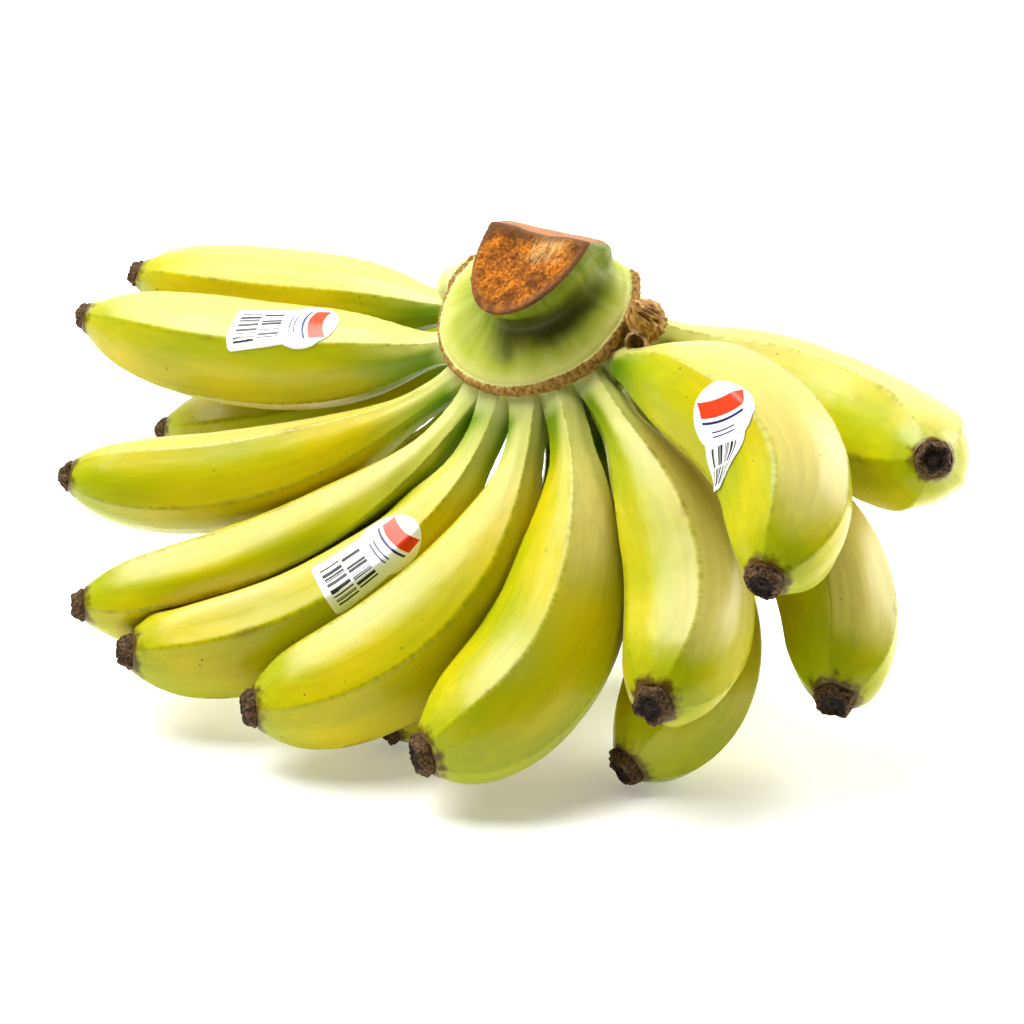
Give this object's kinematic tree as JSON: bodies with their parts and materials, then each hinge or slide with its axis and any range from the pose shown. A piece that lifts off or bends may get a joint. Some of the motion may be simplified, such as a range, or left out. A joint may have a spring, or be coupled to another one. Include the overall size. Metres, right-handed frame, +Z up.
{
  "type": "hand of baby bananas",
  "caption": "Whole hand of small dessert bananas joined at a cut crown, resting on its fingers, with dry flower ends, a bract scar and produce stickers.",
  "frame": {"origin": "on the surface that the hand stands on, under the middle of its outline", "axes": "+Z up out of the surface; X along the fan of fingers, its longest extent; -Y is the side that the fan faces"},
  "size_m": [0.2426, 0.209, 0.1304],
  "materials": {
    "peel": "satin waxy peel, yellow-green, dry brown flower ends",
    "crown": "satin green skin with fibrous rust-brown cut faces and a corky brown scar",
    "dried": "dry, papery and wrinkled",
    "label": "smooth coated paper"
  },
  "bodies": {
    "root": {"crown": "crown", "finger_upper_01": "peel", "finger_upper_02": "peel", "finger_upper_03": "peel", "finger_upper_04": "peel", "finger_upper_05": "peel", "finger_upper_06": "peel", "finger_upper_07": "peel", "finger_upper_08": "peel", "finger_upper_09": "peel", "finger_upper_10": "peel", "finger_lower_01": "peel", "finger_lower_02": "peel", "finger_lower_03": "peel", "finger_lower_04": "peel", "finger_lower_05": "peel", "finger_lower_06": "peel", "finger_lower_07": "peel", "dried_stump": "dried", "label_1": "label", "label_2": "label", "label_3": "label"}
  },
  "joints": []
}
